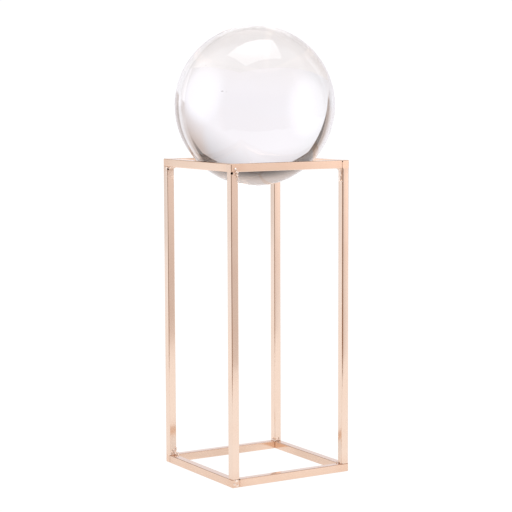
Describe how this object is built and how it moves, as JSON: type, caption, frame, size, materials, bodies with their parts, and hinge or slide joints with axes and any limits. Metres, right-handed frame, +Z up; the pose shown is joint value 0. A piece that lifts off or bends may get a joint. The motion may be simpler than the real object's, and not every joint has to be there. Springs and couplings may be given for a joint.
{
  "type": "glass ball on a stand",
  "caption": "Clear solid glass ball resting loose in the square mouth of a tall open stand of welded rose-gold square bar.",
  "frame": {"origin": "on the ground, at the centre of the square stand", "axes": "+Z up through the ball, -Y towards the stand's front, +X towards its right side"},
  "size_m": [0.12, 0.12, 0.3351],
  "materials": {
    "clear_glass": "clear, colourless and polished",
    "rose_gold_plating": "satin rose-gold plating on steel bar"
  },
  "bodies": {
    "root": {"glass_ball": "clear_glass", "top_rail_front": "rose_gold_plating", "top_rail_right": "rose_gold_plating", "top_rail_back": "rose_gold_plating", "top_rail_left": "rose_gold_plating", "post_front_left": "rose_gold_plating", "post_front_right": "rose_gold_plating", "post_back_right": "rose_gold_plating", "post_back_left": "rose_gold_plating", "bottom_rail_front": "rose_gold_plating", "bottom_rail_right": "rose_gold_plating", "bottom_rail_back": "rose_gold_plating", "bottom_rail_left": "rose_gold_plating"}
  },
  "joints": []
}
